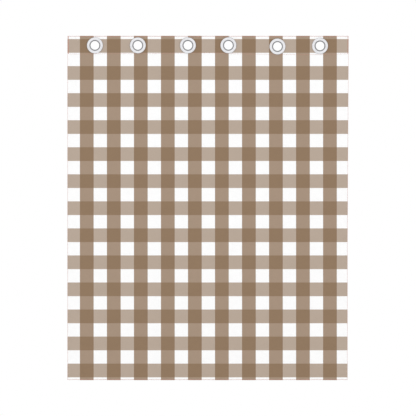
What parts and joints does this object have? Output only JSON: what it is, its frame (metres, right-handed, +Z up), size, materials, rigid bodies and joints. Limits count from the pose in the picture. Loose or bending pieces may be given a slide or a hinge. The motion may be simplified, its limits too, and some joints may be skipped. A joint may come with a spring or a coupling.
{
  "type": "eyelet curtain",
  "caption": "Flat curtain in a brown and white check, with a stitched heading, narrow turned hems and round metal eyelets for a rod.",
  "frame": {"origin": "on the top edge of the heading, halfway between the straight lower parts of the side edges, in the middle of the heading's thickness", "axes": "+Z up the hanging cloth, +X to the right as seen from the printed side, -Y out of the printed side"},
  "size_m": [1.3254, 0.0092, 1.623],
  "materials": {
    "checked_cloth": "plain weave, printed check",
    "bright_metal": "bright nickel plate"
  },
  "bodies": {
    "root": {"heading": "checked_cloth", "panel": "checked_cloth", "eyelet_1": "bright_metal", "eyelet_2": "bright_metal", "eyelet_3": "bright_metal", "eyelet_4": "bright_metal", "eyelet_5": "bright_metal", "eyelet_6": "bright_metal", "washer_1": "bright_metal", "washer_2": "bright_metal", "washer_3": "bright_metal", "washer_4": "bright_metal", "washer_5": "bright_metal", "washer_6": "bright_metal"}
  },
  "joints": []
}
